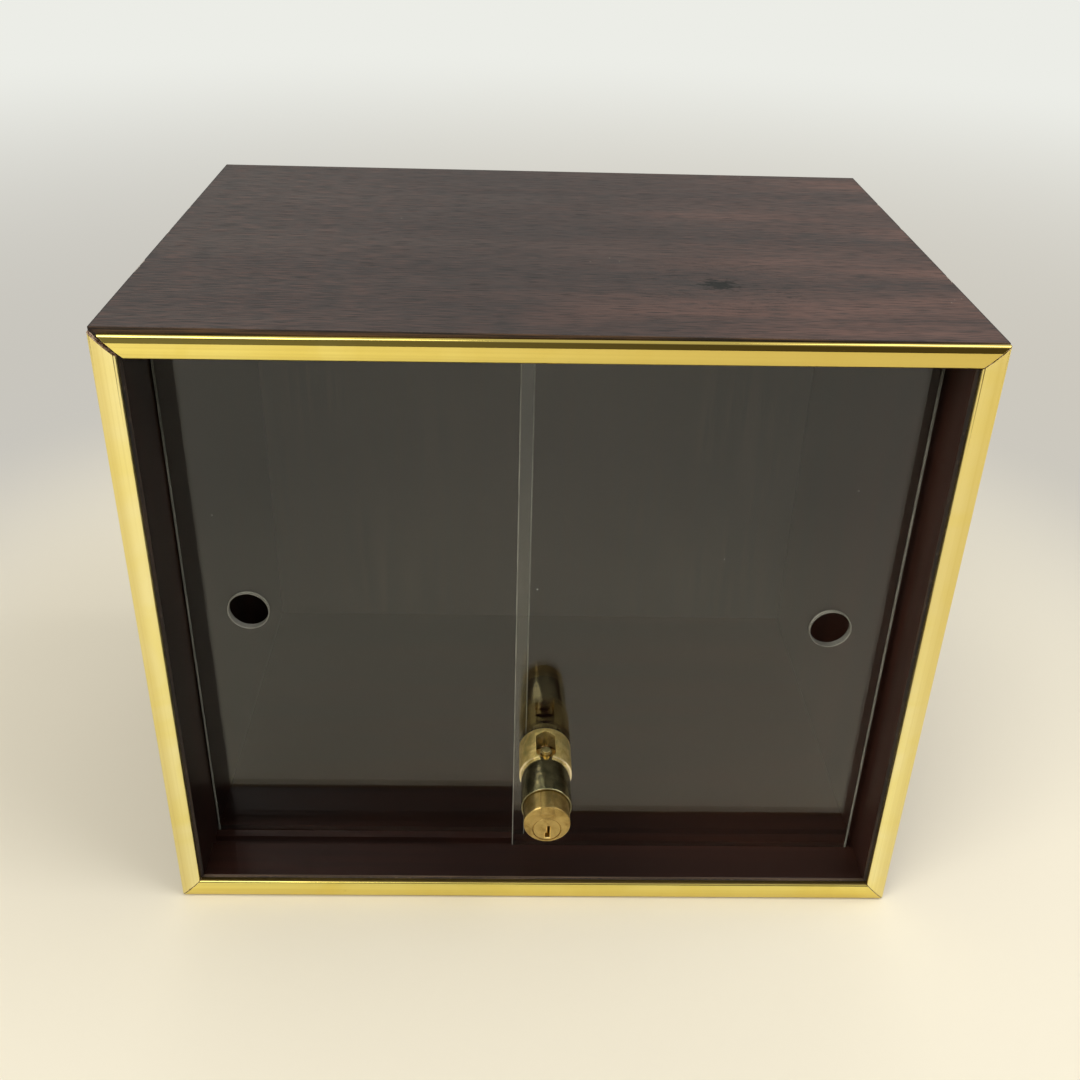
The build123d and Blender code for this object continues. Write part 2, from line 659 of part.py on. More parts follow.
return_spring = coil_spring(
    LOCK_PLANE.offset(BODY_BORE_FLOOR + SPRING_END_GAP),
    spring_pocket_floor - BODY_BORE_FLOOR - 2 * SPRING_END_GAP,
    return_spring_radius,
    RETURN_SPRING_WIRE,
    RETURN_SPRING_TURNS,
)
return_spring.part.label = "return_spring"
export_step(return_spring.part, "parts/return_spring.step")


def upright_pins(bases, lengths):
    """A pin in each chamber, standing at its own height above the lock's axis."""
    with BuildPart() as pins:
        for position, base, length in zip(pin_positions, bases, lengths):
            with BuildSketch(level_plane(position, base)):
                Circle(PIN_RADIUS)
            extrude(amount=length)
        chamfer(pins.edges().filter_by(GeomType.CIRCLE), length=PIN_END_CHAMFER)
    return pins


driver_pins = upright_pins([driver_base] * PIN_COUNT, [DRIVER_PIN_LENGTH] * PIN_COUNT)
driver_pins.part.label = "driver_pins"
export_step(driver_pins.part, "parts/driver_pins.step")

driver_spring_base = driver_base + DRIVER_PIN_LENGTH + SPRING_END_GAP
with BuildPart() as driver_springs:
    for position in pin_positions:
        driver_spring = coil_spring(
            level_plane(position, driver_spring_base),
            pin_chamber_roof - driver_spring_base - SPRING_END_GAP,
            DRIVER_SPRING_RADIUS,
            DRIVER_SPRING_WIRE,
            DRIVER_SPRING_TURNS,
        )
        add(driver_spring.part)
driver_springs.part.label = "driver_springs"
export_step(driver_springs.part, "parts/driver_springs.step")

# ---------------------------------------------------------------- lock, turning parts
keyway_end = plug_rear + KEYWAY_BLIND_LENGTH
keyway_floor = plug_centre - KEYWAY_BELOW_CENTRE
keyway_ward_floor = plug_centre - KEYWAY_WARD_BELOW_CENTRE

with BuildPart() as key_plug:
    with BuildSketch(LOCK_PLANE.offset(plug_rear)):
        with Locations((0, plug_centre)):
            Circle(PLUG_RADIUS)
    extrude(amount=shell_front - PLUG_FACE_RECESS - plug_rear)
    plug_rim = key_plug.edges().filter_by(GeomType.CIRCLE).group_by(Axis.Y)[0]
    chamfer(plug_rim, length=PLUG_EDGE_CHAMFER)
    with BuildSketch(LOCK_PLANE.offset(keyway_end)):
        with BuildLine():
            Polyline(
                (KEYWAY_WARD, keyway_roof),
                (KEYWAY_RIGHT, keyway_roof),
                (KEYWAY_RIGHT, keyway_floor),
                (KEYWAY_LEFT, keyway_floor),
                (KEYWAY_LEFT, keyway_ward_floor),
                (KEYWAY_WARD, keyway_ward_floor),
                close=True,
            )
        make_face()
    extrude(amount=shell_front - keyway_end, mode=Mode.SUBTRACT)
    mouth = key_plug.edges().filter_by(GeomType.LINE).filter_by(Plane.XZ).group_by(Axis.Y)[0]
    chamfer(mouth, length=KEYWAY_MOUTH_CHAMFER)
    for position in pin_positions:
        with BuildSketch(level_plane(position, keyway_roof - PIN_HOLE_BELOW_ROOF)):
            Circle(pin_bore_radius)
        extrude(amount=2 * PLUG_RADIUS, mode=Mode.SUBTRACT)
    # The cam pin behind it, which lifts the dog as the key turns.
    with BuildSketch(LOCK_PLANE.offset(dog_rear)):
        with Locations((0, cam_pin_height)):
            Circle(CAM_PIN_RADIUS)
    extrude(amount=plug_rear - dog_rear)
key_plug.part.label = "key_plug"
export_step(key_plug.part, "parts/key_plug.step")

key_pin_bases = [plug_top - PIN_SHEAR_GAP - length for length in KEY_PIN_LENGTHS]
key_pins = upright_pins(key_pin_bases, KEY_PIN_LENGTHS)
key_pins.part.label = "key_pins"
export_step(key_pins.part, "parts/key_pins.step")

dog_head_top = plug_centre + DOG_HEAD_ABOVE_CENTRE
dog_head_bottom = plug_centre - DOG_HEAD_BELOW_CENTRE
# The slot is tall enough to let the dog drop into the body's notch while the cam pin is at its lowest.
cam_slot_bottom = cam_pin_height - CAM_PIN_RADIUS - CAM_SLOT_CLEARANCE
cam_slot_top = cam_pin_height + CAM_PIN_RADIUS + DOG_NOTCH_DEPTH
cam_slot_width = 2 * (DOG_TRAVEL + CAM_PIN_RADIUS + CAM_SLOT_CLEARANCE)

with BuildPart() as locking_dog:
    with BuildSketch(LOCK_PLANE.offset(dog_rear)):
        with Locations((0, (dog_head_top + dog_head_bottom) / 2)):
            Rectangle(DOG_HEAD_WIDTH, dog_head_top - dog_head_bottom)
        with Locations((0, (dog_head_top - SHELL_RADIUS) / 2)):
            Rectangle(DOG_TIP_WIDTH, dog_head_top + SHELL_RADIUS)
        with Locations((0, (cam_slot_top + cam_slot_bottom) / 2)):
            Rectangle(cam_slot_width, cam_slot_top - cam_slot_bottom, mode=Mode.SUBTRACT)
    extrude(amount=DOG_THICKNESS)
    with BuildSketch(LOCK_PLANE.offset(dog_rear)):
        Circle(SHELL_RADIUS)
    extrude(amount=DOG_THICKNESS, mode=Mode.INTERSECT)
locking_dog.part.label = "locking_dog"
export_step(locking_dog.part, "parts/locking_dog.step")

dog_spring = coil_spring(
    level_plane((dog_rear + dog_front) / 2, dog_head_top + SPRING_END_GAP),
    plug_bore_top - dog_head_top - DOG_SPRING_HEADROOM,
    DOG_SPRING_RADIUS,
    DOG_SPRING_WIRE,
    DOG_SPRING_TURNS,
)
dog_spring.part.label = "dog_spring"
export_step(dog_spring.part, "parts/dog_spring.step")
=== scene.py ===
"""Looks for the sliding-door display case: edges, finishes, stage, light and camera. Metres throughout."""

import json
import math

import bmesh
import bpy
from mathutils import Matrix, Vector


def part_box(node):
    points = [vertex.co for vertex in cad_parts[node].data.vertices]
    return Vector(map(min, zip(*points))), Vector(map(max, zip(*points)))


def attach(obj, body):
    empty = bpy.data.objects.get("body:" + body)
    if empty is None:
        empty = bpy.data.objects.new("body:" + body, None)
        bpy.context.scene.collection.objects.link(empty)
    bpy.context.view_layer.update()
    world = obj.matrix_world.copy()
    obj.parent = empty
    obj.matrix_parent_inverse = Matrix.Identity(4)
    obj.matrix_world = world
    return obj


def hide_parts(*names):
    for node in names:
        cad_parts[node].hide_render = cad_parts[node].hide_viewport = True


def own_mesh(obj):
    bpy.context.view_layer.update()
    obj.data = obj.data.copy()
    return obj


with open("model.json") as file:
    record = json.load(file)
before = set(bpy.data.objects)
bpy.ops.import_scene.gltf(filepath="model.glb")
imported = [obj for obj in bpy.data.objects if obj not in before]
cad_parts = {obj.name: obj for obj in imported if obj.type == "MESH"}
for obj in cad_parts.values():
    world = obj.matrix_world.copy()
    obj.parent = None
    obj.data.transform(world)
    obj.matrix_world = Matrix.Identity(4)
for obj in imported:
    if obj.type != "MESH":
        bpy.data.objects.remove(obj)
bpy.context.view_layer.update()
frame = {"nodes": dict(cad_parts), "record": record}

# ---------------------------------------------------------------- named values
MM = 0.001

# The camera stands where the photograph was taken from. Its lens and sensor are in Blender's millimetres.
CAMERA_PLACE = Vector((-0.01427, -0.48910, 0.40190))
CAMERA_AIM = Vector((-0.00257, -0.11200, 0.18043))
CAMERA_ROLL = math.radians(1.684)
CAMERA_LENS = 40.4
CAMERA_SENSOR = 36.0

# Places taken from the frame.
side_low, side_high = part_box("right_side")
lock_low, lock_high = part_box("lock_body")
plug_low, plug_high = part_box("key_plug")
half_width = side_high.x
half_depth = side_high.y
case_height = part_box("top_panel")[1].z
wall = side_high.x - side_low.x
lock_axis = (lock_low + lock_high) / 2
plug_axis = (plug_low + plug_high) / 2

NODE_BODY = {node: body for body, nodes in frame["record"]["behaviour"]["bodies"].items() for node in nodes}
JOINTS = {joint["name"]: joint for joint in frame["record"]["behaviour"]["joints"]}


def srgb(red, green, blue):
    """A screen colour, 0 to 255, as the linear colour that a shader takes."""
    levels = (red / 255, green / 255, blue / 255)
    linear = [v / 12.92 if v <= 0.04045 else ((v + 0.055) / 1.055) ** 2.4 for v in levels]
    return (*linear, 1.0)


# ---------------------------------------------------------------- node helpers
class Graph:
    """Short calls that build one node tree."""

    def __init__(self, tree):
        self.tree = tree
        tree.nodes.clear()

    def node(self, kind, inputs=None, **options):
        made = self.tree.nodes.new("ShaderNode" + kind)
        for key, value in options.items():
            setattr(made, key, value)
        for key, value in (inputs or {}).items():
            self.feed(made.inputs[key], value)
        return made

    def feed(self, socket, value):
        if isinstance(value, bpy.types.NodeSocket):
            self.tree.links.new(value, socket)
        else:
            socket.default_value = value

    def place(self):
        """The point on the piece, in metres, which stays with the piece as it moves."""
        return self.node("TexCoord").outputs["Object"]

    def parts(self, vector):
        """The X, Y and Z of a vector."""
        return self.node("SeparateXYZ", {0: vector}).outputs

    def vector(self, x, y, z):
        return self.node("CombineXYZ", {0: x, 1: y, 2: z}).outputs[0]

    def facing(self):
        """The surface's own direction."""
        return self.node("NewGeometry").outputs["Normal"]

    def math(self, operation, a, b=0.0):
        return self.node("Math", {0: a, 1: b}, operation=operation).outputs[0]

    def dot(self, a, b):
        return self.node("VectorMath", {0: a, 1: b}, operation="DOT_PRODUCT").outputs["Value"]

    def length(self, vector):
        return self.node("VectorMath", {0: vector}, operation="LENGTH").outputs["Value"]

    def stretch(self, vector, scale, shift=(0.0, 0.0, 0.0)):
        scaled = self.node("VectorMath", {0: vector, 1: scale}, operation="MULTIPLY").outputs[0]
        return self.node("VectorMath", {0: scaled, 1: shift}, operation="ADD").outputs[0]

    def noise(self, vector, detail=2.0, roughness=0.5, distortion=0.0):
        """Soft noise, one bump for each unit of the vector."""
        inputs = {
            "Vector": vector,
            "Scale": 1.0,
            "Detail": detail,
            "Roughness": roughness,
            "Distortion": distortion,
        }
        return self.node("TexNoise", inputs).outputs["Fac"]

    def cells(self, vector):
        """How far the nearest of many scattered points is, one point for each unit of the vector."""
        return self.node("TexVoronoi", {"Vector": vector, "Scale": 1.0}).outputs["Distance"]

    def ease(self, value, low, high, start=0.0, end=1.0):
        """start up to low, end from high on, and a smooth step between."""
        inputs = {"Value": value, "From Min": low, "From Max": high, "To Min": start, "To Max": end}
        return self.node("MapRange", inputs, interpolation_type="SMOOTHSTEP").outputs[0]

    def mix(self, factor, a, b):
        """A mix of two colours."""
        made = self.node("Mix", data_type="RGBA")
        self.feed(made.inputs[0], factor)
        self.feed(made.inputs[6], a)
        self.feed(made.inputs[7], b)
        return made.outputs[2]

    def mix_shaders(self, factor, a, b):
        """A mix of two shaders."""
        return self.node("MixShader", {0: factor, 1: a, 2: b}).outputs[0]

    def bump(self, height, depth, strength):
        return self.node("Bump", {"Height": height, "Distance": depth, "Strength": strength}).outputs[0]

    def principled(self, **inputs):
        named = {key.replace("_", " "): value for key, value in inputs.items()}
        return self.node("BsdfPrincipled", named).outputs[0]

    def output(self, shader, kind="OutputMaterial"):
        self.node(kind, {"Surface": shader})


def new_material(name):
    """An empty node material, and the graph that fills it."""
    material = bpy.data.materials.new(name)
    material.use_nodes = True
    return material, Graph(material.node_tree)


# ---------------------------------------------------------------- wood
# The knot in the top: its middle, how far it reaches along and across the grain, and how far it pushes it.
KNOT = Vector((0.0630, -0.0561))
KNOT_LENGTH = 5.8 * MM
KNOT_WIDTH = 5.0 * MM
KNOT_PUSH = 3.5 * MM
GRAIN_SWAY = 4.0 * MM

OUTER_DARK = srgb(42, 29, 27)
OUTER_BROWN = srgb(64, 44, 38)
OUTER_RED = srgb(100, 68, 57)
OUTER_GREY = srgb(58, 52, 48)
OUTER_PORE = srgb(22, 17, 17)
KNOT_GREEN = srgb(7, 10, 7)
INNER_DARK = srgb(18, 10, 7)
INNER_BROWN = srgb(38, 19, 13)
# The two right-hand inside colours below are redder and lighter, partly the wood's tone and partly painted
# light.
INNER_WARM_LIT = srgb(42, 25, 19)
INNER_RED_LIT = srgb(58, 34, 26)
CHIP = srgb(190, 180, 165)
RUBBED = srgb(112, 96, 80)
DUST = srgb(176, 164, 148)

# The raw board's darker and lighter streaks, where each side's front and back edges show it.
BOARD = {
    "top": (srgb(44, 28, 18), srgb(84, 60, 40)),
    "bottom": (srgb(56, 40, 22), srgb(84, 66, 48)),
    "left": (srgb(24, 15, 11), srgb(50, 36, 26)),
    "right": (srgb(24, 15, 11), srgb(52, 38, 27)),
}

VARNISH_IOR = 1.45

# How much each side's inner front corner is rubbed, from its least to its most.
RUB = {"top": (0.1, 0.5), "bottom": (0.4, 0.9), "left": (0.0, 0.25), "right": (0.0, 0.35)}

# Each side of the frame: its grain's direction, its outward direction, and how far out its outer face is.
SIDES = {
    "top": ("x", Vector((0.0, 0.0, 1.0)), case_height),
    "bottom": ("x", Vector((0.0, 0.0, -1.0)), 0.0),
    "left": ("z", Vector((-1.0, 0.0, 0.0)), half_width),
    "right": ("z", Vector((1.0, 0.0, 0.0)), half_width),
}


def depth_below(g, place, side):
    """How deep a point lies under one outer face of the case."""
    outward, reach = SIDES[side][1:]
    return g.math("ADD", g.dot(place, -outward), reach)


class Grain:
    """The patterns of one side's wood, which wander a little, and swirl round the knot if there is one."""

    def __init__(self, g, side, seed, knot):
        self.side = side
        self.seed = seed
        self.knot = knot
        self.place = g.place()
        self.x, self.y, self.z = g.parts(self.place)
        along_x = SIDES[side][0] == "x"
        self.run = self.x if along_x else self.z
        self.level = g.vector(self.run, self.y, seed)
        sway = g.math("MULTIPLY", g.noise(g.stretch(self.level, (9.0, 16.0, 1.0)), 1.5), GRAIN_SWAY)
        if knot:
            sway = g.math("SUBTRACT", sway, self.swirl(g))
        swayed = g.vector(self.run, g.math("ADD", self.y, sway), seed)

        self.bands = g.noise(g.stretch(swayed, (2.2, 30.0, 1.0)), 2.5, 0.55)
        self.streaks = g.noise(g.stretch(swayed, (14.0, 300.0, 3.0)), 3.0, 0.6)
        self.fibres = g.noise(g.stretch(swayed, (95.0, 980.0, 7.0)), 2.5, 0.65)
        self.pores = g.ease(g.noise(g.stretch(swayed, (95.0, 1750.0, 5.0)), 1.0), 0.56, 0.66)
        self.patches = g.noise(g.stretch(swayed, (6.0, 28.0, 1.0), (3.1 * seed, 1.7, 0.0)), 2.5, 0.5, 0.3)
        lengthways = (24.0, 900.0, 1500.0) if along_x else (1500.0, 900.0, 24.0)
        self.board = g.noise(g.stretch(self.place, lengthways), 3.0, 0.6)

    def swirl(self, g):
        """How far the knot pushes the grain aside. Its ragged outline and dark core are kept as well."""
        from_knot = g.math("DIVIDE", g.math("SUBTRACT", self.x, KNOT.x), KNOT_LENGTH)
        self.across_knot = g.math("DIVIDE", g.math("SUBTRACT", self.y, KNOT.y), KNOT_WIDTH)
        ragged = g.noise(g.stretch(self.level, (260.0, 760.0, 1.0)), 3.0, 0.65)
        ragged = g.math("MULTIPLY", g.math("SUBTRACT", ragged, 0.5), 5.0)
        self.reach = g.math("ADD", g.length(g.vector(from_knot, self.across_knot, 0.0)), ragged)
        self.core = g.ease(self.reach, 0.5, 1.5, 1.0, 0.0)
        push = g.math("MULTIPLY", g.ease(self.reach, 0.0, 7.0, 1.0, 0.0), KNOT_PUSH)
        off_line = g.math("ADD", g.math("ABSOLUTE", self.across_knot), 0.6)
        return g.math("MULTIPLY", push, g.math("DIVIDE", self.across_knot, off_line))


def outer_veneer(g, grain):
    """The outside's colour: redder to the right, greyer towards the left and the back."""
    redder = g.math("ADD", g.math("MULTIPLY", grain.x, 0.9), g.math("MULTIPLY", grain.y, -0.25))
    greyer = g.math("SUBTRACT", g.math("MULTIPLY", grain.bands, 0.4), redder)
    colour = g.mix(g.ease(grain.bands, 0.36, 0.62), OUTER_DARK, OUTER_BROWN)
    colour = g.mix(g.ease(g.math("ADD", grain.patches, redder), 0.50, 0.74, 0.0, 0.85), colour, OUTER_RED)
    colour = g.mix(g.ease(greyer, 0.14, 0.38, 0.0, 0.75), colour, OUTER_GREY)
    colour = g.mix(g.ease(grain.streaks, 0.46, 0.62, 0.0, 0.45), colour, OUTER_DARK)
    colour = g.mix(g.ease(grain.fibres, 0.48, 0.62, 0.0, 0.36), colour, OUTER_RED)
    colour = g.mix(g.ease(grain.fibres, 0.47, 0.34, 0.0, 0.75), colour, OUTER_PORE)
    colour = g.mix(g.math("MULTIPLY", grain.pores, 0.60), colour, OUTER_PORE)
    colour = g.mix(g.ease(g.math("ABSOLUTE", grain.x), 0.02, 0.10, 0.35, 0.0), colour, OUTER_PORE)
    if grain.knot:
        beside = g.ease(g.math("ABSOLUTE", grain.across_knot), 0.2, 1.2, 1.0, 0.0)
        shade = g.math("MULTIPLY", beside, g.ease(grain.reach, 1.0, 6.0, 0.55, 0.0))
        colour = g.mix(shade, colour, OUTER_PORE)
        colour = g.mix(grain.core, colour, KNOT_GREEN)
    return colour


def inner_veneer(g, grain):
    """The inside's colour: nearly black, and redder and lighter to the right, partly the wood's own tone and
    partly painted light from the left lamp falling on the right-hand walls.
    """
    # Painted light: the inside grows lighter and redder to the right, where the lamp from the left falls.
    lit_to_right = g.ease(grain.x, -0.03, 0.12)
    dark = g.mix(lit_to_right, INNER_DARK, INNER_WARM_LIT)
    colour = g.mix(g.ease(grain.bands, 0.35, 0.65), dark, g.mix(lit_to_right, INNER_BROWN, INNER_RED_LIT))
    return g.mix(g.ease(grain.streaks, 0.44, 0.62, 0.0, 0.5), colour, dark)


def bare_edges(g, grain, facing, colour):
    """Front and back edges show the board under the veneer; the walls of the door grooves don't."""
    endways = g.ease(g.math("ABSOLUTE", facing[1]), 0.5, 0.7)
    at_end = g.ease(g.math("ABSOLUTE", grain.y), half_depth - 2.0 * MM, half_depth - 1.4 * MM)
    on_edge = g.math("MULTIPLY", endways, at_end)
    board = g.mix(g.ease(grain.board, 0.36, 0.64), *BOARD[grain.side])
    return g.mix(on_edge, colour, board), on_edge


def worn_margin(g, grain, colour):
    """The front margin is worn back to a ragged line with pale fibres, and its inner corner is rubbed."""
    from_front = g.math("ADD", grain.y, half_depth)
    fray = g.noise(g.vector(g.math("MULTIPLY", grain.run, 520.0), grain.seed, 2.0), 3.0, 0.7)
    margin = g.math("ADD", g.math("MULTIPLY", fray, 1.7 * MM), -0.25 * MM)
    worn = g.math("LESS_THAN", from_front, margin)
    board = g.mix(g.ease(grain.board, 0.4, 0.7), OUTER_PORE, BOARD[grain.side][1])
    colour = g.mix(g.math("MULTIPLY", worn, 0.9), colour, board)
    lip = g.ease(g.math("ABSOLUTE", g.math("SUBTRACT", from_front, margin)), 0.0, 0.22 * MM, 1.0, 0.0)
    tuft = g.noise(g.vector(g.math("MULTIPLY", grain.run, 260.0), grain.seed, 9.0), 3.0, 0.7)
    tuft = g.math("MULTIPLY", lip, g.ease(tuft, 0.52, 0.66))
    colour = g.mix(g.math("MULTIPLY", tuft, 0.5), colour, RUBBED)

    past_wall = g.math("ABSOLUTE", g.math("SUBTRACT", depth_below(g, grain.place, grain.side), wall))
    inner_corner = g.math("ADD", past_wall, g.math("ABSOLUTE", from_front))
    near_corner = g.ease(inner_corner, 0.10 * MM, 0.50 * MM, 1.0, 0.0)
    rub = g.math("MULTIPLY", near_corner, g.ease(fray, 0.35, 0.6, *RUB[grain.side]))
    return g.mix(rub, colour, RUBBED), worn


def chipped_corners(g, grain, colour):
    """The long outer corners are dark lines, with a few chips that let the core show."""
    from_side = g.math("SUBTRACT", half_width, g.math("ABSOLUTE", grain.x))
    from_top = g.math("SUBTRACT", case_height, grain.z)
    corner = g.math("ADD", g.math("ABSOLUTE", from_side), g.math("ABSOLUTE", from_top))
    colour = g.mix(g.ease(corner, 0.35 * MM, 0.7 * MM, 0.75, 0.0), colour, OUTER_PORE)
    ragged = g.noise(g.stretch(grain.place, (320.0, 240.0, 320.0), (0.0, 0.7, 0.0)), 2.0, 0.6)
    sparse = g.ease(g.noise(g.stretch(grain.place, (40.0, 52.0, 40.0)), 1.0), 0.62, 0.68, 0.0, 0.8 * MM)
    chip = g.math("LESS_THAN", corner, g.math("MULTIPLY", g.math("SUBTRACT", ragged, 0.1), sparse))
    return g.mix(g.math("MULTIPLY", chip, 0.75), colour, CHIP)


def settled_dust(g, grain, facing, colour):
    """Specks of dust on what faces up."""
    speck = g.cells(g.stretch(grain.place, (170.0, 170.0, 170.0)))
    gathered = g.noise(g.stretch(grain.place, (45.0, 45.0, 45.0), (grain.seed, 0.0, 0.0)), 1.0)
    here = g.ease(gathered, 0.58, 0.72, 0.0, 0.045)
    dust = g.math("MULTIPLY", g.math("LESS_THAN", speck, here), g.ease(facing[2], 0.6, 0.9, 0.0, 0.75))
    return g.mix(dust, colour, DUST)


def veneer(name, side, seed, knot=False):
    """Dark stained veneer, darker inside the case, with raw front and back edges, rubbed corners and dust."""
    material, g = new_material(name)
    grain = Grain(g, side, seed, knot)
    normal = g.facing()
    facing = g.parts(normal)
    outside = g.ease(g.dot(normal, SIDES[side][1]), 0.3, 0.6)
    colour = g.mix(outside, inner_veneer(g, grain), outer_veneer(g, grain))
    colour, on_edge = bare_edges(g, grain, facing, colour)
    colour, worn = worn_margin(g, grain, colour)
    colour = chipped_corners(g, grain, colour)
    colour = settled_dust(g, grain, facing, colour)

    # The varnish is glossier inside, smeared outside, duller in pores and on the knot, and gone where bare.
    smear = g.noise(g.stretch(grain.level, (24.0, 60.0, 1.0), (0.0, 5.0, 0.0)), 3.0, 0.6)
    satin = g.math("ADD", g.ease(smear, 0.3, 0.7, 0.05, 0.11), g.math("MULTIPLY", grain.pores, 0.15))
    if knot:
        satin = g.math("ADD", satin, g.math("MULTIPLY", grain.core, 0.35))
    rough = g.math("ADD", g.math("MULTIPLY", satin, outside), 0.29)
    rough = g.math("MAXIMUM", rough, g.math("MULTIPLY", g.math("MAXIMUM", on_edge, worn), 0.75))
    relief = g.math("ADD", g.math("MULTIPLY", grain.fibres, 0.5), g.math("MULTIPLY", grain.pores, -0.6))
    relief = g.math("MULTIPLY", relief, outside)
    relief = g.math("ADD", relief, g.math("MULTIPLY", g.math("MULTIPLY", grain.board, on_edge), 2.0))
    bump = g.bump(relief, 0.06 * MM, 0.7)
    g.output(g.principled(Base_Color=colour, Roughness=rough, Normal=bump, IOR=VARNISH_IOR))
    return material


def dark_board(name):
    """The back: thin stained board, matt, with a faint grain up and down, in relief on its rear only."""
    material, g = new_material(name)
    place = g.place()
    grain = g.noise(g.stretch(place, (300.0, 300.0, 12.0)), 3.0, 0.6)
    cloud = g.noise(g.stretch(place, (14.0, 14.0, 6.0)), 2.0)
    colour = g.mix(g.ease(grain, 0.35, 0.7), srgb(42, 36, 32), srgb(62, 53, 46))
    colour = g.mix(g.ease(cloud, 0.4, 0.7, 0.0, 0.5), colour, srgb(44, 32, 26))
    rough = g.ease(grain, 0.3, 0.7, 0.58, 0.72)
    rear = g.ease(g.parts(g.facing())[1], 0.3, 0.6)
    bump = g.bump(g.math("MULTIPLY", grain, rear), 0.08 * MM, 0.6)
    g.output(g.principled(Base_Color=colour, Roughness=rough, Normal=bump))
    return material


def bare_wood(name):
    """Pale wood for the splines in the mitres."""
    material, g = new_material(name)
    grain = g.noise(g.stretch(g.place(), (500.0, 18.0, 500.0)), 3.0, 0.6)
    colour = g.mix(g.ease(grain, 0.35, 0.7), srgb(150, 118, 84), srgb(186, 154, 116))
    g.output(g.principled(Base_Color=colour, Roughness=g.ease(grain, 0.3, 0.7, 0.6, 0.75)))
    return material


# ---------------------------------------------------------------- metal, glass, rubber
# The palest brass is a painted reflection, used only to make the upright strips paler.
BRASS_PALE_PAINTED = srgb(246, 236, 174)
BRASS = srgb(242, 227, 132)
BRASS_DEEP = srgb(232, 211, 104)
# This darker brass marks worn lines and edges, and also serves as painted shade on the strips.
BRASS_WORN_AND_SHADE = srgb(204, 180, 96)
BRASS_DULL_SHADED = srgb(96, 80, 42)
TARNISH = srgb(104, 62, 24)
MITRE_PALE = srgb(206, 178, 152)
MITRE_DARK = srgb(92, 60, 40)

# The glass's linear colours: clear, under a speck of dust, and for the light that passes to the inside.
GLASS_TINT = (0.88, 0.89, 0.865, 1.0)
GLASS_DUST = (0.66, 0.66, 0.63, 1.0)
GLASS_PASSING = (0.92, 0.94, 0.93, 1.0)
GLASS_IOR = 1.43

# How far each strip is darkened by painted shade at its left or lower end and at its right or upper end.
STRIP_SHADE = {"top": (0.10, 0.85), "bottom": (0.0, 0.15), "left": (0.05, 0.05), "right": (0.50, 0.50)}


def trim_brass(name, side):
    """Polished brass strip, rolled lengthways, with smudges, hairlines and a few brown spots."""
    material, g = new_material(name)
    place = g.place()
    along = SIDES[side][0]
    lengthways = (4.0, 700.0, 1100.0) if along == "x" else (1100.0, 700.0, 4.0)
    hairs = (40.0, 2600.0, 4200.0) if along == "x" else (4200.0, 2600.0, 40.0)
    lines = g.noise(g.stretch(place, lengthways), 3.0, 0.6)
    scratch = g.noise(g.stretch(place, hairs), 2.0, 0.6)
    smudge = g.noise(g.stretch(place, (30.0, 30.0, 30.0)), 3.0, 0.6, 0.8)
    spots = g.cells(g.stretch(place, (105.0, 105.0, 105.0)))
    sparse = g.ease(g.noise(g.stretch(place, (17.0, 17.0, 17.0)), 1.0), 0.55, 0.62)
    spot = g.math("MULTIPLY", g.ease(spots, 0.04, 0.09, 1.0, 0.0), sparse)

    # Painted reflection: the upright strips take a paler brass, for the paler light they mirror.
    light, deep = (BRASS, BRASS_DEEP) if along == "x" else (BRASS_PALE_PAINTED, BRASS)
    colour = g.mix(g.ease(smudge, 0.38, 0.72, 0.0, 0.6), light, deep)
    colour = g.mix(g.ease(lines, 0.42, 0.70, 0.0, 0.25), colour, BRASS_WORN_AND_SHADE)
    # Painted shade: a strip darkens towards one end, the right-hand strip all along, and the upright strips
    # towards their top.
    end_shade = g.ease(g.parts(place)[0], -0.14, 0.10, *STRIP_SHADE[side])
    if along == "z":
        end_shade = g.math("MULTIPLY", end_shade, g.ease(g.parts(place)[2], 0.05, 0.18))
    colour = g.mix(end_shade, colour, BRASS_WORN_AND_SHADE)
    depth = depth_below(g, place, side)
    colour = g.mix(g.ease(depth, 2.0 * MM, 6.5 * MM, 0.40, 0.0), colour, BRASS_WORN_AND_SHADE)
    colour = g.mix(g.math("MULTIPLY", spot, 0.85), colour, TARNISH)

    # The inward side was never polished, and its dark colour is a painted reflection of the dark opening it
    # faces; the cut ends in the mitres are raw.
    facing = g.facing()
    inward = g.dot(facing, -SIDES[side][1])
    dull = g.ease(inward, 0.6, 0.85, 0.0, 1.0 if along == "x" else 0.25)
    colour = g.mix(dull, colour, BRASS_DULL_SHADED)
    axis = g.parts(facing)[0 if along == "x" else 2]
    cut = g.ease(g.math("ABSOLUTE", axis), 0.4, 0.6)
    crumble = g.noise(g.stretch(place, (900.0, 900.0, 900.0)), 2.0, 0.6)
    colour = g.mix(cut, colour, g.mix(g.ease(crumble, 0.4, 0.6), MITRE_DARK, MITRE_PALE))

    rough = g.math("ADD", g.ease(smudge, 0.35, 0.75, 0.05, 0.11), g.math("MULTIPLY", spot, 0.4))
    rough = g.math("ADD", rough, g.math("MULTIPLY", g.math("MAXIMUM", cut, dull), 0.45))
    relief = g.math("ADD", g.math("MULTIPLY", lines, 1.0), g.math("MULTIPLY", scratch, 0.25))
    bump = g.bump(relief, 0.0035 * MM, 0.5)
    metal = g.ease(cut, 0.0, 1.0, 1.0, 0.0)
    g.output(g.principled(Base_Color=colour, Metallic=metal, Roughness=rough, Normal=bump))
    return material


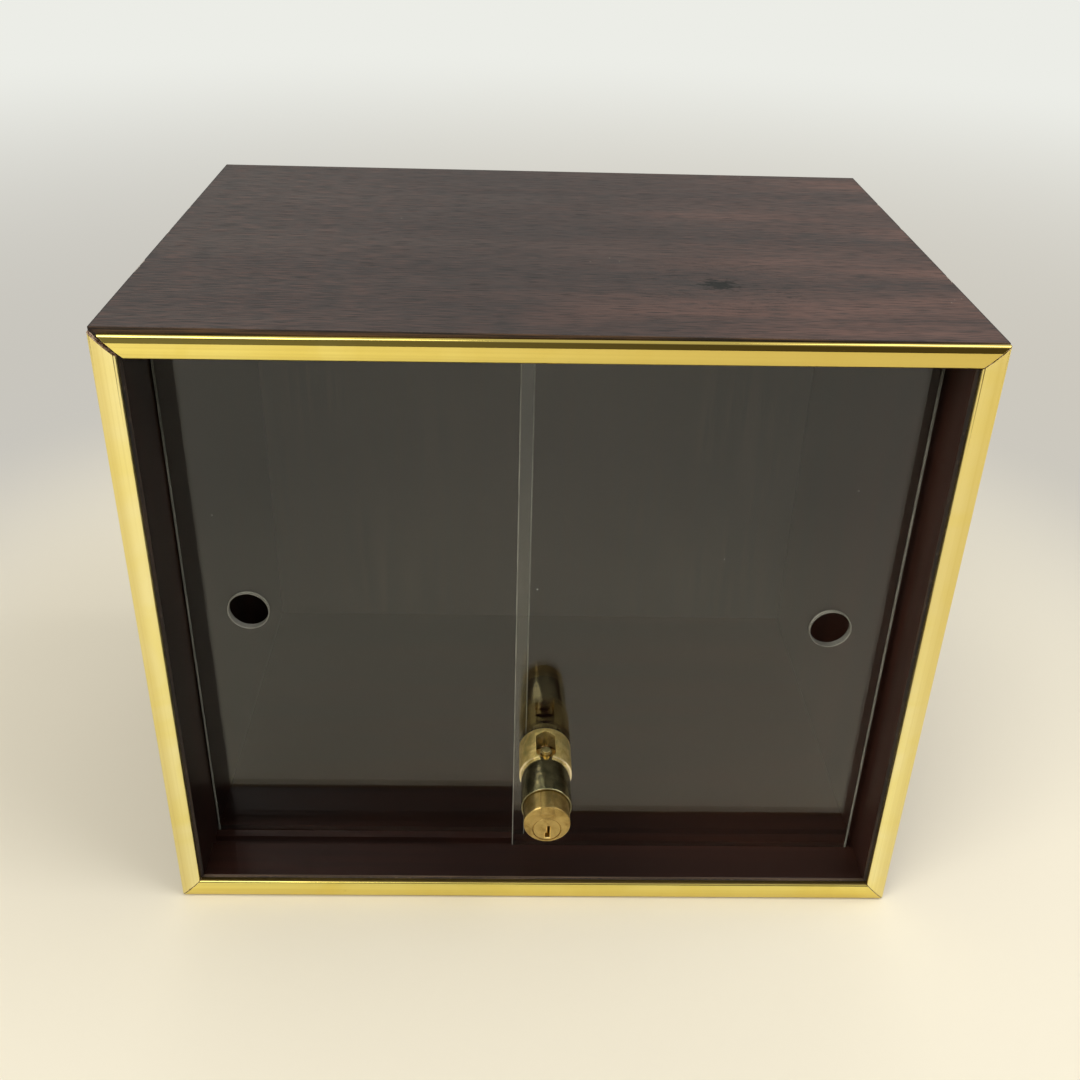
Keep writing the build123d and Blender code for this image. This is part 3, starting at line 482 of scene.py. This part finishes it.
def turned_brass(
    name,
    centre,
    finish,
    metallic=1.0,
    pitch=0.15 * MM,
    cut=0.5,
    face=None,
    face_axis=1,
    squareness=(0.5, 0.75),
    face_beyond=None,
):
    """Brass turned about an axis that runs front to back: fine rings, a stain, soft patches and a fine grain.

    In front of the centre, the faces square to one axis may differ, given as two colours and a roughness, and
    so may what lies beyond a radius.
    """
    light, deep, patina, (low, high) = finish
    material, g = new_material(name)
    place = g.place()
    x, y, z = g.parts(place)
    from_x = g.math("SUBTRACT", x, centre.x)
    from_z = g.math("SUBTRACT", z, centre.z)
    radius = g.length(g.vector(from_x, from_z, 0.0))
    rings = g.noise(g.vector(g.math("DIVIDE", radius, pitch), g.math("DIVIDE", y, pitch), 0.0), 2.0, 0.6)
    turn = g.math("ARCTAN2", from_z, from_x)
    stain = g.noise(g.stretch(place, (210.0, 210.0, 210.0)), 3.0, 0.6, 0.5)
    patches = g.noise(g.stretch(place, (170.0, 120.0, 170.0), (3.0, 1.0, 2.0)), 2.0, 0.55, 0.4)
    drawn = g.noise(g.vector(g.math("MULTIPLY", turn, 5.0), g.math("MULTIPLY", y, 60.0), 4.0), 3.0, 0.6)
    grain = g.noise(g.stretch(place, (4200.0, 4200.0, 4200.0)), 2.0, 0.6)
    colour = g.mix(g.ease(stain, 0.35, 0.70), light, deep)
    colour = g.mix(g.ease(patches, 0.46, 0.68, 0.0, 0.75), colour, patina)
    colour = g.mix(g.ease(drawn, 0.48, 0.66, 0.0, 0.45), colour, deep)
    dull = g.ease(stain, 0.3, 0.8, low, high)
    if face:
        face_light, face_deep, face_rough = face
        level = g.math("ABSOLUTE", g.parts(g.facing())[face_axis])
        square = g.ease(level, *squareness)
        if face_beyond:
            square = g.math("MAXIMUM", square, g.ease(radius, 0.97 * face_beyond, face_beyond))
        square = g.math("MULTIPLY", square, g.math("LESS_THAN", y, centre.y))
        face_colour = g.mix(g.ease(stain, 0.36, 0.66), face_light, face_deep)
        face_colour = g.mix(g.ease(rings, 0.42, 0.70, 0.0, 0.35), face_colour, face_deep)
        colour = g.mix(square, colour, face_colour)
        dull = g.math("ADD", dull, g.math("MULTIPLY", square, face_rough - high))
    colour = g.mix(g.ease(rings, 0.4, 0.75, 0.0, 0.20), colour, deep)
    colour = g.mix(g.ease(grain, 0.54, 0.70, 0.0, 0.30), colour, deep)
    dull = g.math("ADD", dull, g.math("MULTIPLY", grain, 0.06))
    relief = g.math("ADD", rings, g.math("MULTIPLY", grain, 0.5))
    bump = g.bump(relief, 0.01 * MM, cut)
    g.output(g.principled(Base_Color=colour, Metallic=metallic, Roughness=dull, Normal=bump))
    return material


def ground_steel(name):
    """Ground steel, coloured brown and dark: a painted reflection of the brass round it and painted shade, as
    it sits inside the lock.
    """
    material, g = new_material(name)
    place = g.place()
    lines = g.noise(g.stretch(place, (2500.0, 2500.0, 400.0)), 2.0, 0.5)
    colour = g.mix(g.ease(lines, 0.3, 0.7), srgb(112, 90, 58), srgb(150, 124, 84))
    rough = g.ease(lines, 0.3, 0.7, 0.26, 0.38)
    bump = g.bump(lines, 0.008 * MM, 0.5)
    g.output(g.principled(Base_Color=colour, Metallic=1.0, Roughness=rough, Normal=bump))
    return material


def washer_rubber(name):
    """Matt black rubber with a fine grit."""
    material, g = new_material(name)
    grit = g.noise(g.stretch(g.place(), (1800.0, 1800.0, 1800.0)), 2.0)
    colour = g.mix(grit, srgb(24, 24, 24), srgb(44, 43, 42))
    bump = g.bump(grit, 0.02 * MM, 0.5)
    g.output(g.principled(Base_Color=colour, Roughness=g.ease(grit, 0.3, 0.7, 0.55, 0.75), Normal=bump))
    return material


def clear_glass(name):
    """Clear glass with a few specks. Light for the inside of the case passes straight through."""
    material, g = new_material(name)
    place = g.place()
    speck = g.cells(g.stretch(place, (120.0, 120.0, 120.0)))
    here = g.ease(g.noise(g.stretch(place, (30.0, 30.0, 30.0)), 1.0), 0.58, 0.74, 0.0, 0.035)
    dusty = g.math("LESS_THAN", speck, here)
    clear = g.principled(
        Base_Color=g.mix(dusty, GLASS_TINT, GLASS_DUST),
        Roughness=g.math("MULTIPLY", dusty, 0.30),
        IOR=GLASS_IOR,
        Transmission_Weight=1.0,
    )
    passing = g.node("BsdfTransparent", {"Color": GLASS_PASSING}).outputs[0]
    shadow = g.node("LightPath").outputs["Is Shadow Ray"]
    g.output(g.mix_shaders(shadow, clear, passing))
    return material


def ground_glass(name):
    """The panes' edges and the walls of their holes, ground to a dull grey."""
    material, g = new_material(name)
    grit = g.noise(g.stretch(g.place(), (2600.0, 2600.0, 2600.0)), 2.0, 0.6)
    wear = g.noise(g.stretch(g.place(), (90.0, 90.0, 90.0)), 3.0, 0.6)
    colour = g.mix(g.ease(wear, 0.35, 0.65), srgb(98, 96, 87), srgb(128, 126, 115))
    colour = g.mix(g.ease(grit, 0.4, 0.7, 0.0, 0.4), colour, srgb(160, 161, 154))
    bump = g.bump(grit, 0.02 * MM, 0.6)
    g.output(g.principled(Base_Color=colour, Roughness=g.ease(grit, 0.3, 0.7, 0.5, 0.65), Normal=bump))
    return material


# ---------------------------------------------------------------- pieces
# How wide the rounded edges are, and how sharp an edge has to be to become one.
PANEL_EASE = 0.18 * MM
TRIM_EASE = 0.08 * MM
LOCK_EASE = 0.10 * MM
GLASS_EASE = 0.12 * MM
SHARP = math.radians(34)

# Points nearer than WELD are one, and neighbouring faces within FLAT of each other are one. Faces wider than
# BROAD are shaded flat. What looks less straight forwards or back than PANE_FACE is a pane's ground edge.
WELD = 0.002 * MM
FLAT = math.radians(0.5)
BROAD = 0.6 * MM
PANE_FACE = 0.95


def stand_in(node, name, mesh):
    """A piece with this mesh, which stands for a CAD node and rides on the node's body."""
    piece = bpy.data.objects.new(name, mesh)
    bpy.context.scene.collection.objects.link(piece)
    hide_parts(node)
    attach(piece, NODE_BODY[node])
    return piece


def eased_copy(node, name, width, segments=2, flat=None):
    """A copy of a CAD node's mesh with its sharp edges rounded off, standing for that node.

    Faces wider than flat, if it is given, are shaded flat, so that their edges don't shade them.
    """
    mesh = frame["nodes"][node].data.copy()
    mesh.name = name
    work = bmesh.new()
    work.from_mesh(mesh)
    bmesh.ops.remove_doubles(work, verts=work.verts, dist=WELD)
    bmesh.ops.dissolve_limit(
        work, angle_limit=FLAT, verts=work.verts, edges=work.edges, use_dissolve_boundaries=False
    )
    edges = [e for e in work.edges if len(e.link_faces) == 2 and e.calc_face_angle() > SHARP]
    bmesh.ops.bevel(
        work,
        geom=edges,
        offset=width,
        offset_type="OFFSET",
        segments=segments,
        profile=0.6,
        affect="EDGES",
        clamp_overlap=True,
    )
    for face in work.faces:
        face.smooth = flat is None or 2 * face.calc_area() / face.calc_perimeter() < flat
    for edge in work.edges:
        edge.smooth = len(edge.link_faces) == 2 and edge.calc_face_angle() < SHARP
    work.to_mesh(mesh)
    work.free()
    return stand_in(node, name, mesh)


def finish_with(piece, *materials):
    """Gives a piece its materials; the first covers it all."""
    piece.data.materials.clear()
    for material in materials:
        piece.data.materials.append(material)


panels = {"top_panel": "top", "bottom_panel": "bottom", "left_side": "left", "right_side": "right"}
for seed, (node, side) in enumerate(panels.items()):
    material = veneer(node + "_veneer", side, 4.0 * seed, knot=node == "top_panel")
    finish_with(eased_copy(node, node + "_veneered", PANEL_EASE, flat=BROAD), material)

for side in SIDES:
    node = "trim_" + side
    strip = eased_copy(node, node + "_strip", TRIM_EASE, flat=BROAD)
    finish_with(strip, trim_brass(node + "_brass", side))

clear = clear_glass("door_glass")
ground = ground_glass("ground_edge")
for node in ("left_door", "right_door"):
    pane = eased_copy(node, node + "_pane", GLASS_EASE, segments=1, flat=BROAD)
    finish_with(pane, clear, ground)
    for face in pane.data.polygons:
        if abs(face.normal.y) < PANE_FACE:
            face.material_index = 1
            face.use_smooth = False

# The lock's square faces: a light and a deep colour, and a roughness.
FACE = (srgb(180, 156, 98), srgb(142, 118, 68), 0.46)
RING = (srgb(132, 126, 98), srgb(98, 94, 70), 0.42)
# The lock body's ring is a painted highlight: its front face is coloured near white.
RIM_HIGHLIGHT = (srgb(240, 228, 200), srgb(212, 196, 156), 0.34)
# The stud's head is painted light: its flat top is coloured lighter than its sides, besides being rougher.
HEAD_LIT = (srgb(176, 164, 114), srgb(150, 136, 88), 0.55)

# How square a face has to be to look like one, from not at all to wholly, and where the plug's rim begins.
RIM_SQUARE = (0.92, 0.98)
PLUG_SQUARE = (0.80, 0.92)
PLUG_RIM = 5.0 * MM

# The turned brass: its light, deep and stained colours, and its least and most roughness.
BODY = (srgb(248, 224, 148), srgb(216, 188, 108), srgb(174, 160, 94), (0.34, 0.44))
GOLD = (srgb(250, 220, 142), srgb(214, 178, 102), srgb(188, 162, 96), (0.26, 0.34))
BRIGHT = (srgb(228, 214, 162), srgb(172, 164, 118), srgb(104, 112, 86), (0.10, 0.17))
STUD = (srgb(150, 128, 76), srgb(112, 92, 50), srgb(98, 82, 46), (0.34, 0.42))
# The nut's brass is painted shade: the nut sits in shade inside the case and is coloured dark for it.
OLD_SHADED = (srgb(120, 106, 76), srgb(92, 80, 56), srgb(72, 64, 46), (0.44, 0.54))

lock_looks = {
    "lock_body": turned_brass("body_brass", lock_axis, BODY, metallic=0.85, face=RIM_HIGHLIGHT, squareness=RIM_SQUARE),
    "lock_sleeve": turned_brass("sleeve_brass", lock_axis, BRIGHT, pitch=0.3 * MM, cut=0.2, face=RING),
    "lock_nut": turned_brass("nut_brass", lock_axis, OLD_SHADED, metallic=0.85),
    "cylinder_shell": turned_brass("cylinder_brass", lock_axis, GOLD, face=FACE),
    "pin_chamber_insert": turned_brass("insert_brass", lock_axis, GOLD, face=FACE),
    "key_plug": turned_brass(
        "plug_brass", plug_axis, GOLD, face=FACE, squareness=PLUG_SQUARE, face_beyond=PLUG_RIM
    ),
    "stop_stud": turned_brass("stud_brass", lock_axis, STUD, face=HEAD_LIT, face_axis=2),
}
for node, material in lock_looks.items():
    finish_with(eased_copy(node, node + "_turned", LOCK_EASE), material)

carried = {
    "back_panel": dark_board("back_board"),
    "corner_splines": bare_wood("spline_wood"),
    "lock_front_washer": washer_rubber("front_washer_rubber"),
    "lock_rear_washer": washer_rubber("rear_washer_rubber"),
    "key_pins": turned_brass("pin_brass", plug_axis, GOLD),
}
steel = ground_steel("lock_steel")
for node in ("bolt", "driver_pins", "driver_springs", "locking_dog"):
    carried[node] = steel
for node, material in carried.items():
    finish_with(frame["nodes"][node], material)

# Two springs ride on their nodes' bodies, each on its own mesh. How far its joint's travel would press each
# one is worked out, but nothing uses it.
for node, joint, axis in (
    ("return_spring", "lock_push", Vector((0.0, 1.0, 0.0))),
    ("dog_spring", "dog_lift", Vector((0.0, 0.0, 1.0))),
):
    spring = stand_in(node, node + "_coil", frame["nodes"][node].data.copy())
    finish_with(spring, steel)
    near_end, far_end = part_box(node)
    travel = JOINTS[joint]["range_m"][1]
    1.0 - travel / (far_end - near_end).dot(axis)
    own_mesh(spring)


# ---------------------------------------------------------------- stage
FLOOR_REACH = 9.0
FLOOR_DROP = 0.1 * MM
FLOOR_COLOUR = srgb(236, 228, 206)
FLOOR_BEHIND = srgb(204, 200, 190)
# The left backdrop colour is a painted shadow, left of the case.
FLOOR_LEFT_SHADOW = srgb(200, 197, 189)
FLOOR_FAR = srgb(236, 237, 231)
PALE = srgb(220, 219, 213)
WALL_LOW = srgb(160, 158, 153)
ROOM_LEFT = srgb(130, 126, 114)
ROOM_RIGHT = srgb(86, 78, 62)
ROOM_LIGHT = srgb(238, 240, 243)
ROOM_STRENGTH = 0.55


def flat_floor(name):
    """A wide level sheet, a hair under the case."""
    mesh = bpy.data.meshes.new(name)
    work = bmesh.new()
    bmesh.ops.create_grid(work, x_segments=8, y_segments=8, size=FLOOR_REACH)
    work.to_mesh(mesh)
    work.free()
    sheet = bpy.data.objects.new(name, mesh)
    bpy.context.scene.collection.objects.link(sheet)
    sheet.location.z = -FLOOR_DROP
    return sheet


def floor_paper(name):
    """Paper by the case. Further off the camera sees a backdrop, and in front metal mirrors a dark room."""
    material, g = new_material(name)
    place = g.place()
    from_case = g.length(place)
    path = g.node("LightPath").outputs
    paper = g.principled(Base_Color=FLOOR_COLOUR, Roughness=0.85)
    # Painted shadow: the backdrop darkens to the left, where the case's shadow falls.
    backdrop = g.mix(g.ease(g.parts(place)[0], -0.5, 0.1), FLOOR_LEFT_SHADOW, FLOOR_BEHIND)
    backdrop = g.mix(g.ease(from_case, 0.6, 2.2), backdrop, FLOOR_FAR)
    backdrop = g.node("Emission", {"Color": backdrop, "Strength": 1.0}).outputs[0]
    is_seen = g.math("MAXIMUM", path["Is Camera Ray"], path["Is Transmission Ray"])
    paper = g.mix_shaders(g.math("MULTIPLY", g.ease(from_case, 0.28, 0.52), is_seen), paper, backdrop)
    dark_room = g.node("Emission", {"Color": ROOM_RIGHT, "Strength": 1.0}).outputs[0]
    in_front = g.ease(g.parts(place)[1], -1.4, -1.0, 1.0, 0.0)
    g.output(g.mix_shaders(g.math("MULTIPLY", in_front, path["Is Glossy Ray"]), paper, dark_room))
    return material


def studio_world(name):
    """A pale, even light. The camera sees a plain backdrop; what is mirrored is a wall and a dark room."""
    world = bpy.data.worlds.new(name)
    world.use_nodes = True
    g = Graph(world.node_tree)
    x, y, z = g.parts(g.node("TexCoord").outputs["Generated"])
    path = g.node("LightPath").outputs
    toward_viewer = g.ease(y, -0.3, 0.2, 1.0, 0.0)
    low_down = g.ease(z, 0.12, 0.34, 1.0, 0.0)
    room = g.math("MULTIPLY", g.math("MULTIPLY", toward_viewer, low_down), path["Is Glossy Ray"])
    room_colour = g.mix(g.ease(x, -0.3, 0.3), ROOM_LEFT, ROOM_RIGHT)
    wall_colour = g.mix(g.ease(z, 0.25, 0.65), WALL_LOW, PALE)
    seen = g.mix(path["Is Camera Ray"], wall_colour, FLOOR_FAR)
    seen = g.mix(room, seen, room_colour)
    seen = g.node("Background", {"Color": seen, "Strength": 1.0}).outputs[0]
    lit = g.node("Background", {"Color": ROOM_LIGHT, "Strength": ROOM_STRENGTH}).outputs[0]
    is_seen = g.math("MAXIMUM", path["Is Camera Ray"], path["Is Glossy Ray"])
    is_seen = g.math("MAXIMUM", is_seen, path["Is Transmission Ray"])
    g.output(g.mix_shaders(is_seen, lit, seen), "OutputWorld")
    return world


def area_lamp(name, place, aim, size, power, colour, mirrored=True):
    """A soft lamp turned towards a point; one that isn't mirrored doesn't show in metal or glass."""
    data = bpy.data.lights.new(name, "AREA")
    data.shape = "RECTANGLE"
    data.size, data.size_y = size
    data.energy = power
    data.color = colour
    lamp = bpy.data.objects.new(name, data)
    bpy.context.scene.collection.objects.link(lamp)
    lamp.location = place
    lamp.rotation_mode = "QUATERNION"
    lamp.rotation_quaternion = (Vector(aim) - Vector(place)).to_track_quat("-Z", "Y")
    lamp.visible_glossy = mirrored


floor = flat_floor("floor")
finish_with(floor, floor_paper("floor_paper"))
bpy.context.scene.world = studio_world("studio")
area_lamp("key", (-1.0, -1.3, 1.6), (0.0, -0.1, 0.1), (1.4, 1.4), 25.0, (1.0, 0.95, 0.87))
area_lamp("fill", (1.3, -0.35, 1.5), (0.0, 0.0, 0.1), (1.5, 1.5), 20.0, (0.98, 0.98, 1.0))
area_lamp("rear", (0.1, 1.4, 1.9), (0.0, 0.0, 0.2), (1.8, 1.2), 5.0, (0.97, 0.98, 1.0), mirrored=False)

# ---------------------------------------------------------------- camera
camera_data = bpy.data.cameras.new("camera")
camera_data.lens = CAMERA_LENS
camera_data.sensor_width = CAMERA_SENSOR
camera = bpy.data.objects.new("camera", camera_data)
bpy.context.scene.collection.objects.link(camera)
looking = (CAMERA_AIM - CAMERA_PLACE).to_track_quat("-Z", "Y").to_matrix().to_4x4()
camera.matrix_world = Matrix.Translation(CAMERA_PLACE) @ looking @ Matrix.Rotation(CAMERA_ROLL, 4, "Z")
bpy.context.scene.camera = camera

bpy.context.scene.view_settings.view_transform = "Standard"
